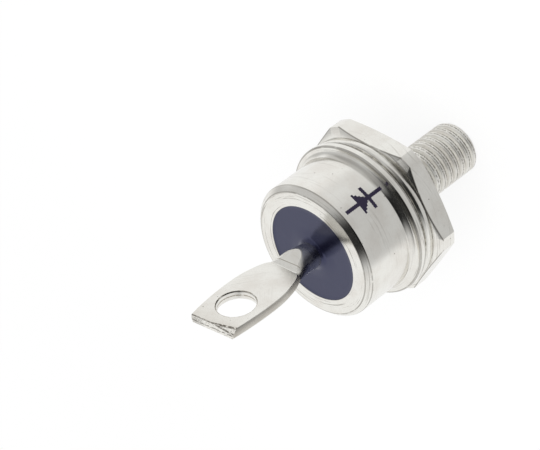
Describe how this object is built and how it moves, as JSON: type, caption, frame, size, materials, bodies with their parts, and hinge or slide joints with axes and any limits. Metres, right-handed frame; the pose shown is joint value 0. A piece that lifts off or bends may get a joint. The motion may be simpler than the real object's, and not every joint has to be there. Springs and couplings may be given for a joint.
{
  "type": "stud mount diode",
  "caption": "Stud-mount rectifier diode: plated hexagonal base with threaded stud, flanged round case, dark glass seal and a flattened tube terminal with a lug hole.",
  "frame": {"origin": "centre of the hexagon's flat seating face", "axes": "+Z along the axis towards the terminal, the stud points to -Z; X runs across the blade's width, and two corners of the hexagon lie 5 degrees off it"},
  "size_m": [0.0192, 0.018, 0.0377],
  "materials": {
    "plated_copper": "nickel plated, bright",
    "plated_steel": "nickel plated, turned, bright",
    "blue_glass": "dark blue sealing glass, satin gloss",
    "plated_terminal": "nickel plated, pressed",
    "bare_copper": "bare",
    "solder": "dull",
    "molybdenum": "ground",
    "silicon": "polished",
    "silicone": "matte"
  },
  "bodies": {
    "root": {"base": "plated_copper", "weld_ring": "plated_steel", "case": "plated_steel", "glass_seal": "blue_glass", "terminal": "plated_terminal", "inner_lead": "bare_copper", "contact_foot": "bare_copper", "foot_solder": "solder", "upper_disc": "molybdenum", "upper_die_solder": "solder", "silicon_die": "silicon", "lower_die_solder": "solder", "lower_disc": "molybdenum", "base_solder": "solder", "junction_coating": "silicone"}
  },
  "joints": []
}
